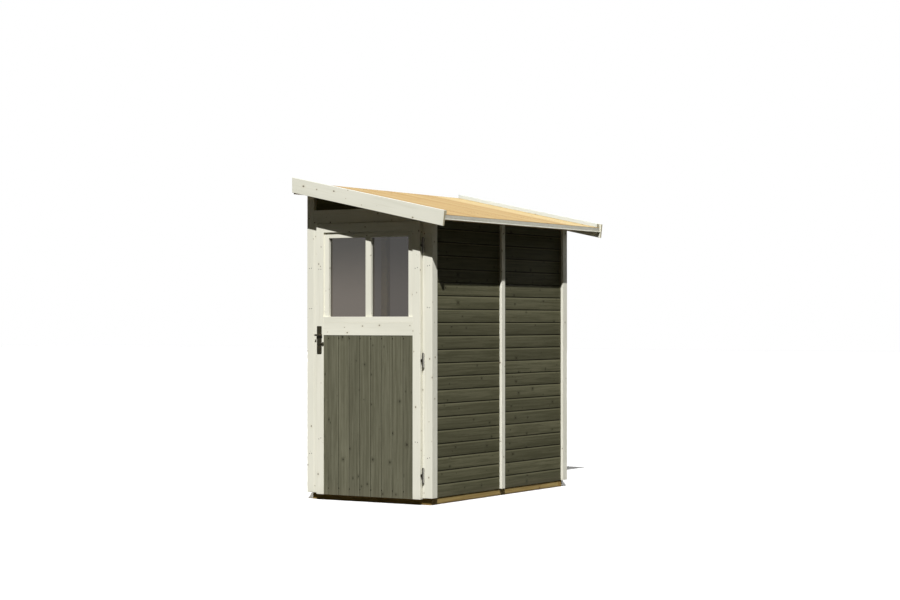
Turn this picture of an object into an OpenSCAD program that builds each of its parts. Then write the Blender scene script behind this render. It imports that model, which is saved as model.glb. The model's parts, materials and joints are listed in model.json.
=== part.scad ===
// Lean-to garden shed, open on its high side, with a hinged half-glazed door.
// Millimetres. +Z is up, -Y is the door front, -X is the high side that stands against a wall.
// Sizes are measured from the high side (X), from the front face of the posts (Y) and from the ground (Z).

/* [Overall] */
// Width over the posts, high side to eave side
shed_width = 1006; // [800:1400]
// Depth over the posts, door front to rear
shed_depth = 1856; // [1200:2600]
// Height of the roof boards' top at the high side
back_height = 2150; // [1900:2400]
// Slope of the roof in degrees
roof_pitch = 12; // [9:0.5:14]
// Roof past the posts on the eave side
eave_overhang = 201; // [120:260]
// Roof past the posts at the door front and at the rear
gable_overhang = 175; // [120:240]

/* [Base] */
// Height of the base beams
base_height = 46; // [36:70]
// Width of the base beams
base_beam = 58; // [50:90]
// Set-back of the base beams under the wall boards at the sides and the rear
base_reveal = 6; // [2:10]
// Width of the middle joist
joist_width = 46; // [36:60]
// Thickness of the floor boards
floor_thickness = 18; // [14:28]

/* [Posts] */
// Corner posts along X
corner_post_x = 57; // [52:80]
// Corner posts along Y
corner_post_y = 65; // [60:90]
// Middle posts along X
middle_post_x = 50; // [44:70]
// Middle posts along Y
middle_post_y = 46; // [40:70]
// Depth of the grooves that hold the wall boards
groove_depth = 14; // [8:18]

/* [Wall boards] */
// Board thickness
board_thickness = 19; // [15:22]
// Height that each board covers
board_cover = 89; // [80:140]
// Height of the bevel along each board's top
board_bevel = 15; // [5:20]
// Depth of that bevel
board_step = 5; // [3:8]
// Side boards behind the outer faces of the posts
side_setback = 20; // [12:24]
// End boards behind the outer faces of the posts
end_setback = 31; // [28:34]
// Clearance between a board and its groove
board_clearance = 0.5; // [0.3:0.1:1]

/* [Roof] */
// Fascia end past the end of the roof boards
deck_setback = 17; // [12:30]
// Thickness of the roof boards
deck_thickness = 18; // [15:22]
// Height of the fascia boards
fascia_height = 100; // [80:110]
// Thickness of the fascia boards
fascia_thickness = 19; // [15:25]
// Fascia top above the roof boards
fascia_rise = 27; // [15:40]
// Set-back of the fascia's lower corner at the eave
fascia_end_cut = 11; // [0:22]
// Width of the edge battens on the roof boards
batten_width = 40; // [15:60]
// Height of the edge battens on the roof boards
batten_height = 26; // [12:26]
// Height of the high purlin at its inner side
purlin_high_height = 55; // [45:90]
// Height of the low purlin at its outer side
purlin_low_height = 41; // [30:70]
// Height of the metal drip edge's face
drip_height = 25; // [22:50]
// Deck top above the drip edge
drip_drop = 4; // [2:8]
// Thickness of the metal drip edge
drip_thickness = 2; // [1.5:0.5:4]
// Width of the drip edge's flange under the roof boards
drip_width = 40; // [30:90]
// Lip at the foot of the drip edge, out from its face
drip_lip = 6; // [4:10]
// Clearance under what lies along the slope
slope_clearance = 0.2; // [0.1:0.1:0.5]

/* [Door frame] */
// Jamb face on the handle side
jamb_left_face = 26; // [20:40]
// Jamb face on the hinge side
jamb_right_face = 18; // [17:30]
// Depth of the jambs and the header in front of the door stop
frame_rebate = 30; // [29:36]
// Door stop past the jamb face on the handle side
stop_left = 11; // [8:12]
// Door stop past the jamb face on the hinge side
stop_right = 32; // [12:40]
// Door stop below the header face
stop_top = 24; // [12:40]
// Full height of the header board
header_height = 89; // [75:120]
// Height of the header board at its low end, where the roof cuts it
header_low_end = 58; // [50:74]

/* [Door] */
// Gap on the handle side
gap_left = 6; // [6:0.5:10]
// Gap on the hinge side
gap_right = 8; // [6:0.5:12]
// Gap under the header
gap_top = 7; // [5:0.5:12]
// Underside of the door below the base's top
door_overlap = 8; // [0:20]
// Door thickness
door_thickness = 40; // [34:42]
// Door face in front of the posts
door_proud = 18; // [17:24]
// Stile width
stile_width = 59; // [50:80]
// Height of the top rail
rail_top_height = 58; // [50:80]
// Height of the middle rail
rail_middle_height = 87; // [70:110]
// Height of the window opening between the rails
window_height = 606; // [450:700]
// Height of the ledge on the inside
ledge_height = 90; // [70:120]
// Thickness of the panel boards
panel_thickness = 17; // [14:20]
// Width that each panel board covers
panel_cover = 86.3; // [70:140]
// Width of the first panel board, at the handle side
panel_first = 32; // [20:86]
// Panel face behind the stile face
panel_setback = 3; // [2:6]
// Half width and depth of the grooves between the panel boards
panel_groove = 3; // [2:5]

/* [Window] */
// Width of the sash strips
sash_width = 38; // [28:46]
// Width of the middle bar
bar_width = 42; // [30:50]
// Sash face behind the stile face
sash_setback = 9; // [6:12]
// Sash thickness
sash_thickness = 27; // [22:28]
// Glass thickness
glass_thickness = 4; // [3:6]
// How far the glass reaches behind the sash strips
glass_lap = 10; // [6:16]

/* [Handle] */
// Plate width
plate_width = 38; // [30:44]
// Plate height
plate_height = 187; // [160:220]
// Plate thickness
plate_thickness = 4; // [3:6]
// Corner radius of the plate
plate_corner = 6; // [3:12]
// Plate centre from the door's edge
handle_inset = 26; // [24:30]
// Plate top below the middle rail's top
plate_drop = 25; // [15:45]
// Knob's axis below the plate's top
knob_drop = 61; // [45:75]
// Length of the knob's cross bar
knob_length = 58; // [40:80]
// Radius of the knob's cross bar
knob_radius = 6.5; // [5:0.5:9]
// Neck from the plate to the cross bar's axis
neck_length = 10; // [8:30]
// Neck radius
neck_radius = 6; // [5:8]
// Radius of the round knob on the inside
inside_knob_radius = 10; // [8:11]
// Reach of the round knob on the inside
inside_knob_reach = 40; // [30:60]
// Lock's axis below the plate's top
lock_drop = 118; // [100:135]
// Radius of the lock's boss
lock_radius = 9; // [7:12]
// Length of the lock's thumb turn
turn_length = 33; // [25:45]
// Radius of the two lobes on the thumb turn
lobe_radius = 5; // [3:7]
// Thickness of the thumb turn
turn_thickness = 5; // [3:8]

/* [Hinges] */
// Barrel axis right of the door's edge
hinge_offset = 20; // [16:22]
// Barrel axis in front of the posts
hinge_front = 11; // [11:13]
// Barrel radius
barrel_radius = 8; // [7:9]
// Barrel length
barrel_length = 92; // [80:110]
// Length of the middle knuckle
knuckle_length = 34; // [28:40]
// Pin radius
hinge_pin = 4; // [3:0.5:5]
// Running clearance around the pin
pin_clearance = 0.1; // [0.05:0.01:0.1]
// Clearance between the knuckles
knuckle_clearance = 1; // [0.5:0.5:2]
// Thickness of the wing on the door
wing_thickness = 6; // [4:8]
// Height of the wing where it meets the door
wing_tip = 10; // [6:20]
// Width of the shanks on the jamb
shank_width = 8; // [6:10]
// Height of the shanks on the jamb
shank_height = 18; // [12:24]
// Middle of the end hinges from the door's top and bottom
hinge_inset = 158; // [120:220]

/* [Hidden] */
$fn = 32;
// Overrun of a cut past the face that it opens
cut = 1;

// Roof
slope = tan(roof_pitch);
roof_width = shed_width + eave_overhang;
deck_drop = deck_thickness / cos(roof_pitch);
fascia_drop = fascia_height / cos(roof_pitch);
deck_x1 = roof_width - deck_setback;
deck_y0 = fascia_thickness - gable_overhang;
deck_y1 = shed_depth - deck_y0;
function deck_top(x) = back_height - x * slope;
function deck_under(x) = deck_top(x) - deck_drop;
function under_deck(x) = deck_under(x) - slope_clearance;
function over_deck(x) = deck_top(x) + slope_clearance;
function fascia_top(x) = deck_top(x) + fascia_rise;

// Base and posts
base_x0 = side_setback;
base_x1 = shed_width - side_setback;
base_y0 = end_setback;
base_y1 = shed_depth - end_setback;
beam_x0 = base_x0 + base_reveal;
beam_x1 = base_x1 - base_reveal;
beam_y1 = base_y1 - base_reveal;
inner_x0 = corner_post_x;
inner_x1 = shed_width - corner_post_x;
inner_y0 = corner_post_y;
inner_y1 = shed_depth - corner_post_y;
middle_y0 = (shed_depth - middle_post_y) / 2;
middle_y1 = middle_y0 + middle_post_y;
high_post_top = under_deck(inner_x0) - purlin_high_height;
low_post_top = under_deck(shed_width) - purlin_low_height;
tongue = groove_depth - 2 * board_clearance;

// Door frame and door
header_bottom = under_deck(inner_x1) - header_low_end;
header_top = header_bottom + header_height;
header_cut = (under_deck(0) - header_top) / slope;
leaf_x0 = inner_x0 + jamb_left_face + gap_left;
jamb_right_x = inner_x1 - jamb_right_face;
leaf_x1 = jamb_right_x - gap_right;
leaf_y0 = -door_proud;
leaf_y1 = door_thickness - door_proud;
leaf_z0 = base_height - door_overlap;
leaf_z1 = header_bottom - gap_top;
light_x0 = leaf_x0 + stile_width;
light_x1 = leaf_x1 - stile_width;
light_z1 = leaf_z1 - rail_top_height;
light_z0 = light_z1 - window_height;
panel_z1 = light_z0 - rail_middle_height;
panel_y0 = leaf_y0 + panel_setback;
panel_y1 = panel_y0 + panel_thickness;

// Window
sash_y0 = leaf_y0 + sash_setback;
sash_y1 = sash_y0 + sash_thickness;
glass_y0 = sash_y1 - glass_thickness;
bar_x = (light_x0 + light_x1) / 2;
glass_edge = sash_width - glass_lap;

// Handle and hinges
handle_x = leaf_x0 + handle_inset;
plate_z1 = light_z0 - plate_drop;
plate_y0 = leaf_y0 - plate_thickness;
knob_z = plate_z1 - knob_drop;
lock_z = plate_z1 - lock_drop;
hinge_x = leaf_x1 + hinge_offset;
hinge_y = -hinge_front;
hinge_low = leaf_z0 + hinge_inset;
hinge_high = leaf_z1 - hinge_inset;
hinge_middle = (hinge_low + hinge_high) / 2;
end_knuckle = (barrel_length - knuckle_length) / 2 - knuckle_clearance;
end_knuckle_z = (barrel_length - end_knuckle) / 2;

// Puts the middle of the roof's plan over the origin.
module placed() translate([-roof_width / 2, -shed_depth / 2, 0]) children();
module white_paint() color([0.91, 0.91, 0.85]) placed() children();
module grey_paint() color([0.4, 0.39, 0.32]) placed() children();
module raw_wood() color([0.87, 0.75, 0.55]) placed() children();
module zinc() color([0.62, 0.62, 0.59]) placed() children();
module black_iron() color([0.18, 0.16, 0.14]) placed() children();
module clear_glass() color([0.6, 0.62, 0.66, 0.4]) placed() children();

module block(x0, x1, y0, y1, z0, z1) translate([x0, y0, z0]) cube([x1 - x0, y1 - y0, z1 - z0]);
// A profile drawn in X and Z, drawn out from y0 to y1
module along_y(y0, y1) translate([0, y1, 0]) rotate([90, 0, 0]) linear_extrude(y1 - y0) children();
// A profile drawn in Y and Z, drawn out from x0 to x1
module along_x(x0, x1) translate([x0, 0, 0]) rotate([90, 0, 90]) linear_extrude(x1 - x0) children();

// Section of stacked wall boards: the outer face is at 0, and each board's top is bevelled back
module board_section(z0, z1) polygon([
    [-board_thickness, z1], [-board_thickness, z0], [0, z0],
    for (z = [z0 + board_cover : board_cover : z1 - board_bevel])
        each [[0, z - board_bevel], [-board_step, z], [0, z]],
    [0, z1]]);

// Groove for the side boards, cut into a post between y0 and y1
module side_groove(y0, y1)
    block(base_x1 - board_thickness - board_clearance, base_x1 + board_clearance, y0, y1, base_height - cut,
        low_post_top + cut);
// Groove for the end boards whose outer face is at y, cut into a post between x0 and x1
module end_groove(x0, x1, y, inward, z0)
    block(x0, x1, min(y - inward * board_clearance, y + inward * (board_thickness + board_clearance)),
        max(y - inward * board_clearance, y + inward * (board_thickness + board_clearance)), z0, back_height);

// Base
module base_beam_front() raw_wood() block(beam_x0, beam_x1, base_y0, base_y0 + base_beam, 0, base_height);
module base_beam_rear() raw_wood() block(beam_x0, beam_x1, beam_y1 - base_beam, beam_y1, 0, base_height);
module base_beam_side(x0) raw_wood()
    block(x0, x0 + base_beam, base_y0 + base_beam, beam_y1 - base_beam, 0, base_height);
module base_beam_left() base_beam_side(beam_x0);
module base_beam_right() base_beam_side(beam_x1 - base_beam);
module base_joist() raw_wood()
    block(beam_x0 + base_beam, beam_x1 - base_beam, (shed_depth - joist_width) / 2, (shed_depth + joist_width) / 2,
        0, base_height);
module floor() raw_wood()
    block(inner_x0, inner_x1, inner_y0, inner_y1, base_height, base_height + floor_thickness);

// Posts
module corner_post(x0, y0, top) block(x0, x0 + corner_post_x, y0, y0 + corner_post_y, base_height, top);
module middle_post(x0, top) block(x0, x0 + middle_post_x, middle_y0, middle_y1, base_height, top);
module post_front_left() white_paint() difference() {
    corner_post(0, 0, high_post_top);
    end_groove(inner_x0 - groove_depth, inner_x0 + cut, base_y0, 1, header_top);
}
module post_rear_left() white_paint() difference() {
    corner_post(0, inner_y1, high_post_top);
    end_groove(inner_x0 - groove_depth, inner_x0 + cut, base_y1, -1, base_height - cut);
}
module post_middle_left() white_paint() middle_post(0, high_post_top);
module post_front_right() white_paint() difference() {
    corner_post(inner_x1, 0, low_post_top);
    side_groove(inner_y0 - groove_depth, inner_y0 + cut);
}
module post_rear_right() white_paint() difference() {
    corner_post(inner_x1, inner_y1, low_post_top);
    side_groove(inner_y1 - cut, inner_y1 + groove_depth);
    end_groove(inner_x1 - cut, inner_x1 + groove_depth, base_y1, -1, base_height - cut);
}
module post_middle_right() white_paint() difference() {
    middle_post(shed_width - middle_post_x, low_post_top);
    side_groove(middle_y0 - cut, middle_y0 + groove_depth);
    side_groove(middle_y1 - groove_depth, middle_y1 + cut);
}

// Walls, with their board ends in the grooves of the posts
module right_wall(y0, y1) grey_paint() along_y(y0 - tongue, y1 + tongue)
    translate([base_x1, 0]) board_section(base_height, low_post_top);
module right_wall_front() right_wall(inner_y0, middle_y0);
module right_wall_rear() right_wall(middle_y1, inner_y1);
module rear_wall() grey_paint() intersection() {
    translate([0, base_y1, 0]) along_x(inner_x0 - tongue, inner_x1 + tongue)
        board_section(base_height, back_height);
    along_y(base_y0, shed_depth)
        polygon([[inner_x0 - tongue, base_height], [inner_x1 + tongue, base_height],
            [inner_x1 + tongue, low_post_top], [inner_x1, low_post_top], [inner_x1, under_deck(inner_x1)],
            [inner_x0, under_deck(inner_x0)], [inner_x0, high_post_top], [inner_x0 - tongue, high_post_top]]);
}
module front_gable() grey_paint() intersection() {
    translate([0, base_y0, 0]) mirror([0, 1, 0]) along_x(inner_x0 - tongue, header_cut)
        board_section(header_top, back_height);
    along_y(0, base_y1)
        polygon([[inner_x0 - tongue, header_top], [header_cut, header_top], [inner_x0, under_deck(inner_x0)],
            [inner_x0, high_post_top], [inner_x0 - tongue, high_post_top]]);
}

// Door frame
// The header's front part stops short of the hinge-side jamb, and its back part runs behind it
module header_profile(x1) polygon([[inner_x0, header_bottom], [x1, header_bottom], [x1, under_deck(x1)],
    [header_cut, header_top], [inner_x0, header_top]]);
module door_header() white_paint() {
    along_y(0, frame_rebate + cut) header_profile(leaf_x1);
    along_y(frame_rebate, corner_post_y) header_profile(inner_x1);
    block(inner_x0, inner_x1, frame_rebate, corner_post_y, header_bottom - stop_top, header_bottom + cut);
}
module door_jamb(x0, x1, top0, top1, stop_x0, stop_x1) white_paint() {
    along_y(0, frame_rebate) polygon([[x0, base_height], [x1, base_height], [x1, top1], [x0, top0]]);
    block(stop_x0, stop_x1, frame_rebate, corner_post_y, base_height, header_bottom - stop_top);
}
module door_jamb_left()
    door_jamb(inner_x0, inner_x0 + jamb_left_face, header_bottom, header_bottom, inner_x0,
        inner_x0 + jamb_left_face + stop_left);
module door_jamb_right()
    door_jamb(jamb_right_x, inner_x1, under_deck(jamb_right_x), under_deck(inner_x1), jamb_right_x - stop_right,
        inner_x1);

// Roof
module purlin(x0, z0) raw_wood() along_y(deck_y0, deck_y1)
    polygon([[x0, z0], [x0 + corner_post_x, z0], [x0 + corner_post_x, under_deck(x0 + corner_post_x)],
        [x0, under_deck(x0)]]);
module purlin_high() purlin(0, high_post_top);
module purlin_low() purlin(inner_x1, low_post_top);
module roof_deck() raw_wood() along_y(deck_y0, deck_y1)
    polygon([[0, deck_under(0)], [deck_x1, deck_under(deck_x1)], [deck_x1, deck_top(deck_x1)], [0, deck_top(0)]]);
module fascia(y0) white_paint() along_y(y0, y0 + fascia_thickness)
    polygon([[0, fascia_top(0) - fascia_drop],
        [roof_width - fascia_end_cut, fascia_top(roof_width - fascia_end_cut) - fascia_drop],
        [roof_width, fascia_top(roof_width)], [0, fascia_top(0)]]);
module fascia_front() fascia(-gable_overhang);
module fascia_rear() fascia(deck_y1);
module edge_batten(y0) white_paint() along_y(y0, y0 + batten_width)
    polygon([[0, over_deck(0)], [deck_x1, over_deck(deck_x1)], [deck_x1, over_deck(deck_x1) + batten_height],
        [0, over_deck(0) + batten_height]]);
module edge_batten_front() edge_batten(deck_y0);
module edge_batten_rear() edge_batten(deck_y1 - batten_width);
module drip_edge() zinc() {
    face_x = deck_x1 + slope_clearance;
    top_z = deck_top(deck_x1) - drip_drop;
    foot_z = top_z - drip_height;
    lip_x = face_x + drip_thickness + drip_lip;
    flange_x0 = deck_x1 - drip_width;
    flange_x1 = face_x + drip_thickness / 2;
    along_y(deck_y0, deck_y1) {
        polygon([[face_x, foot_z], [lip_x, foot_z - drip_lip], [lip_x, foot_z - drip_lip + drip_thickness],
            [face_x + drip_thickness, foot_z + drip_thickness], [face_x + drip_thickness, top_z], [face_x, top_z]]);
        polygon([[flange_x0, under_deck(flange_x0) - drip_thickness], [flange_x1, under_deck(flange_x1) - drip_thickness],
            [flange_x1, under_deck(flange_x1)], [flange_x0, under_deck(flange_x0)]]);
    }
}

// Door
module door_stile(x0) white_paint() block(x0, x0 + stile_width, leaf_y0, leaf_y1, leaf_z0, leaf_z1);
module door_stile_left() door_stile(leaf_x0);
module door_stile_right() door_stile(light_x1);
module door_rail(z0, z1) white_paint() block(light_x0, light_x1, leaf_y0, leaf_y1, z0, z1);
module door_rail_top() door_rail(light_z1, leaf_z1);
module door_rail_middle() door_rail(panel_z1, light_z0);
module door_ledge() white_paint()
    block(light_x0, light_x1, panel_y1, leaf_y1, leaf_z0, leaf_z0 + ledge_height);
module door_panel() grey_paint() translate([0, 0, leaf_z0]) linear_extrude(panel_z1 - leaf_z0) polygon([
    [light_x1, panel_y1], [light_x0, panel_y1], [light_x0, panel_y0],
    for (x = [light_x0 + panel_first : panel_cover : light_x1 - panel_groove])
        each [[x - panel_groove, panel_y0], [x, panel_y0 + panel_groove], [x + panel_groove, panel_y0]],
    [light_x1, panel_y0]]);

// Window
module pane_space(x0, x1) block(x0, x1, sash_y0 - cut, sash_y1 + cut, light_z0 + sash_width, light_z1 - sash_width);
module glass_space(y1)
    block(light_x0 + glass_edge, light_x1 - glass_edge, glass_y0, y1, light_z0 + glass_edge, light_z1 - glass_edge);
module window_sash() white_paint() difference() {
    block(light_x0, light_x1, sash_y0, sash_y1, light_z0, light_z1);
    pane_space(light_x0 + sash_width, bar_x - bar_width / 2);
    pane_space(bar_x + bar_width / 2, light_x1 - sash_width);
    glass_space(sash_y1 + cut);
}
module window_pane() clear_glass() glass_space(sash_y1);

// Handle
// A plate with round corners, from the face at y towards the outside of the door
module plate(y, thickness) translate([handle_x, y, plate_z1 - plate_height / 2]) rotate([90, 0, 0])
    linear_extrude(thickness) {
        square([plate_width - 2 * plate_corner, plate_height], center = true);
        square([plate_width, plate_height - 2 * plate_corner], center = true);
        for (x = [-1, 1], z = [-1, 1])
            translate([x * (plate_width / 2 - plate_corner), z * (plate_height / 2 - plate_corner)])
                circle(plate_corner);
    }
// A round bar through (x, z), from y0 to y1
module rod(x, z, r, y0, y1) translate([x, y1, z]) rotate([90, 0, 0]) cylinder(r = r, h = y1 - y0);
module handle_plate() black_iron() plate(leaf_y0, plate_thickness);
module door_knob() black_iron() {
    rod(handle_x, knob_z, neck_radius, plate_y0 - neck_length, plate_y0);
    translate([handle_x, plate_y0 - neck_length, knob_z]) rotate([0, 90, 0])
        cylinder(r = knob_radius, h = knob_length, center = true);
}
module lock_turn() black_iron() {
    rod(handle_x, lock_z, lock_radius, plate_y0 - turn_thickness, plate_y0);
    block(handle_x, handle_x + turn_length, plate_y0 - turn_thickness, plate_y0, lock_z - lobe_radius,
        lock_z + lobe_radius);
    for (side = [-1, 1])
        rod(handle_x + turn_length, lock_z + side * lobe_radius, lobe_radius, plate_y0 - turn_thickness, plate_y0);
}
module inside_handle() black_iron() {
    plate(leaf_y1 + plate_thickness, plate_thickness);
    translate([handle_x, leaf_y1, knob_z]) rotate([-90, 0, 0]) rotate_extrude()
        polygon([[0, 0], [neck_radius, 0], [neck_radius, inside_knob_reach / 2],
            [inside_knob_radius, inside_knob_reach - neck_radius],
            [inside_knob_radius, inside_knob_reach - plate_thickness], [neck_radius, inside_knob_reach],
            [0, inside_knob_reach]]);
}

// Hinges
module barrel(z, r, h) translate([hinge_x, hinge_y, z - h / 2]) cylinder(r = r, h = h);
// The middle knuckle, with a wing that tapers to the door's edge
module hinge_wing(z) zinc() difference() {
    union() {
        barrel(z, barrel_radius, knuckle_length);
        along_y(hinge_y - wing_thickness / 2, hinge_y + wing_thickness / 2)
            polygon([[leaf_x1, z - wing_tip / 2], [hinge_x, z - knuckle_length / 2],
                [hinge_x, z + knuckle_length / 2], [leaf_x1, z + wing_tip / 2]]);
    }
    barrel(z, hinge_pin + pin_clearance, knuckle_length + 2 * cut);
}
// The pin with its end knuckles, on shanks that stand on the jamb
module hinge_pin_on_jamb(z) zinc() {
    barrel(z, hinge_pin, barrel_length);
    for (side = [-1, 1]) {
        barrel(z + side * end_knuckle_z, barrel_radius, end_knuckle);
        block(hinge_x - shank_width / 2, hinge_x + shank_width / 2, hinge_y, 0,
            z + side * end_knuckle_z - shank_height / 2, z + side * end_knuckle_z + shank_height / 2);
    }
}
module hinge_wing_low() hinge_wing(hinge_low);
module hinge_wing_middle() hinge_wing(hinge_middle);
module hinge_wing_high() hinge_wing(hinge_high);
module hinge_pin_low() hinge_pin_on_jamb(hinge_low);
module hinge_pin_middle() hinge_pin_on_jamb(hinge_middle);
module hinge_pin_high() hinge_pin_on_jamb(hinge_high);

base_beam_front();
base_beam_rear();
base_beam_left();
base_beam_right();
base_joist();
floor();
post_front_left();
post_front_right();
post_middle_left();
post_middle_right();
post_rear_left();
post_rear_right();
right_wall_front();
right_wall_rear();
rear_wall();
front_gable();
door_header();
door_jamb_left();
door_jamb_right();
purlin_high();
purlin_low();
roof_deck();
fascia_front();
fascia_rear();
edge_batten_front();
edge_batten_rear();
drip_edge();
door_stile_left();
door_stile_right();
door_rail_top();
door_rail_middle();
door_ledge();
door_panel();
window_sash();
window_pane();
handle_plate();
door_knob();
lock_turn();
inside_handle();
hinge_wing_low();
hinge_wing_middle();
hinge_wing_high();
hinge_pin_low();
hinge_pin_middle();
hinge_pin_high();
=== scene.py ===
"""Looks of a lean-to garden shed: boarded walls and roof, eased timbers, window, ironwork and finishes."""
import json
import math
import random

import bpy
from mathutils import Matrix, Vector


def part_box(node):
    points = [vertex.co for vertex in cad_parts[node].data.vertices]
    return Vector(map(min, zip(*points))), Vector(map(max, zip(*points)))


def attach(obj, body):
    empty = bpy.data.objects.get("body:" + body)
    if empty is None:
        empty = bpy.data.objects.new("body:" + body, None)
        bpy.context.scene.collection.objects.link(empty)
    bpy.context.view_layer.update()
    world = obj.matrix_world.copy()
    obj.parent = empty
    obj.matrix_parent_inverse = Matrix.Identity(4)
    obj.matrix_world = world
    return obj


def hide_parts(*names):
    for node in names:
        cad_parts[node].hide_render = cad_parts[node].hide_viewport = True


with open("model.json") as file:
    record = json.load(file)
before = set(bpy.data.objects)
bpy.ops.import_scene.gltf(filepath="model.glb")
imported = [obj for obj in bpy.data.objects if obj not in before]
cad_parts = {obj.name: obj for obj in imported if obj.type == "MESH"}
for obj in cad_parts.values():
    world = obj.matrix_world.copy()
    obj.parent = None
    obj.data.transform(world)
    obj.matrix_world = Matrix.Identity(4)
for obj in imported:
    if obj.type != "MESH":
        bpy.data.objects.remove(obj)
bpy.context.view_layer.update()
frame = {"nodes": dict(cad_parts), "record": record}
draw = random.Random(41)

# Sizes in metres, as in the part's source
ROOF_PITCH = math.radians(12)
ROOF_SLOPE = math.tan(ROOF_PITCH)
ROOF_THICKNESS = 0.018 / math.cos(ROOF_PITCH)
BOARD_COVER = 0.089
BOARD_BEVEL = 0.015
BOARD_STEP = 0.005
PANEL_COVER = 0.0863
PANEL_FIRST = 0.032
SASH_WIDTH = 0.038
SASH_BAR = 0.042
GLASS_LAP = 0.010

# Counts of boards; the last roof boards keep only a share of their number, which makes them pale
ROOF_BOARDS = 24
PALE_ROOF_BOARDS = 5
PALE_SHARE = 0.1
FLOOR_BOARDS = 10

# Sizes in metres of what is made only here: boards and window
ROOF_CLEARANCE = 0.0002
BOARD_EASE = 0.0008
ROOF_EASE = 0.0016
FLOOR_EASE = 0.0015
PANEL_EASE = 0.0006
# How far below each joint the boards' painted shade reaches
BOARD_SHADE = 0.010
PANEL_GROOVE = 0.0045
SASH_EASE = 0.0012
SILL_SETBACK = 0.0005
HEAD_GAP = 0.013
HEAD_GAP_DEPTH = 0.023
BEAD_INSET = 0.014
BEAD_DEPTH = 0.0035
BAR_BEAD = 0.032

# Radius and rise of the heads of nails and screws
SMALL_HEAD = (0.0030, 0.0006)
PANEL_NAIL_HEAD = (0.0050, 0.0007)
PLATE_SCREW_HEAD = (0.0042, 0.0007)

# Where nails and screws sit; the roof's nails stay clear of its edge battens
BATTEN_CLEAR = 0.046
PANEL_NAIL_ASIDE = 0.006
PANEL_NAIL_BELOW_TOP = 0.020
PANEL_NAIL_ABOVE_FOOT = 0.045
PANEL_NAIL_WOBBLE = 0.002
WOBBLE = 0.004
SCREW_PAIR = 0.0085
POST_SCREW_HEIGHTS = (0.313, 1.295, 1.570)
STILE_SCREW_HEIGHTS = (0.415, 1.560)

# The handle and the caps of the hinges
PLATE_CORNER = 0.006
PLATE_RIM = 0.0045
PLATE_RISE = 0.0010
PLATE_SCREW_INSET = 0.012
WAIST_START = 0.010
WAIST_PLACE = 0.019
WAIST_REACH = 0.004
WAIST_SCALE = 0.94
NECK_RADIUS = 0.006
ROSE_RADIUS = 0.011
ROSE_DEPTH = 0.004
CAP_SINK = 0.001
CAP_RISE = 0.005
CAP_SHARE = 0.8

# Distances under which two places count as one
TINY = 0.00005
MERGE_DISTANCE = 0.00001

UP = Vector((0, 0, 1))
OUT_FRONT = Vector((0, -1, 0))
OUT_REAR = Vector((0, 1, 0))
OUT_RIGHT = Vector((1, 0, 0))
ROOF_NORMAL = Vector((math.sin(ROOF_PITCH), 0, math.cos(ROOF_PITCH)))
DOWN_ROOF = Vector((math.cos(ROOF_PITCH), 0, -math.sin(ROOF_PITCH)))

# Colours: light, middle and dark of raw wood, then light and dark of the stain
RAW_ROOF = ((0.61, 0.47, 0.238), (0.475, 0.340, 0.152), (0.34, 0.215, 0.083))
RAW_FLOOR = ((0.66, 0.485, 0.262), (0.585, 0.41, 0.205), (0.46, 0.295, 0.13))
RAW_BASE = ((0.47, 0.36, 0.145), (0.33, 0.235, 0.085), (0.18, 0.115, 0.042))
WALL_GREY = ((0.127, 0.122, 0.074), (0.079, 0.076, 0.043))
# The gable's stain is the wall's made lighter, as painted light in the gable's deep shade
GABLE_GREY = ((0.170, 0.164, 0.088), (0.108, 0.103, 0.052))
PANEL_GREY = ((0.180, 0.175, 0.120), (0.118, 0.114, 0.075))

# The paint's tone on the fascias, and on the battens, which the roof's warm light also reaches
FASCIA_TONE = (0.95, 0.955, 0.96)
BATTEN_TONE = (0.78, 0.86, 1.00)

# Lamps far away: name, direction of the light, strength and spread in degrees
SUN_LAMPS = (
    ("key", (-0.370, 0.591, -0.7215), 5.1, 0.6),
    ("rear", (0.0, -1.0, -0.30), 1.5, 25.0),
    ("left", (1.0, -0.2, -0.30), 1.7, 25.0),
)

# The soft lamp in the room
ROOM_LAMP_PLACE = (-0.12, -0.78, 1.42)
ROOM_LAMP_AIM = (-0.32, 0.60, 1.20)
ROOM_LAMP_COLOUR = (1.0, 0.95, 0.75)
ROOM_LAMP_POWER = 11.0
ROOM_LAMP_SIZE = 0.60

# The white surround and the pale floor, and the little light that each gives back
SURROUND_BOUNCE = 0.024
SURROUND_COLOUR = (1.0, 0.95, 0.62)
FLOOR_BOUNCE = (0.040, 0.038, 0.028)
FLOOR_COLOUR = (0.90, 0.90, 0.90)
FLOOR_SIZE = 120
FLOOR_DROP = 0.0005


class Value:
    """An output of a finish's nodes; arithmetic on it adds Math nodes."""

    def __init__(self, finish, socket):
        self.finish = finish
        self.socket = socket

    def __add__(self, other):
        return self.finish.math("ADD", self, other)

    def __radd__(self, other):
        return self.finish.math("ADD", other, self)

    def __sub__(self, other):
        return self.finish.math("SUBTRACT", self, other)

    def __rsub__(self, other):
        return self.finish.math("SUBTRACT", other, self)

    def __mul__(self, other):
        return self.finish.math("MULTIPLY", self, other)

    def __rmul__(self, other):
        return self.finish.math("MULTIPLY", other, self)

    def __truediv__(self, other):
        return self.finish.math("DIVIDE", self, other)

    def __rtruediv__(self, other):
        return self.finish.math("DIVIDE", other, self)


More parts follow.
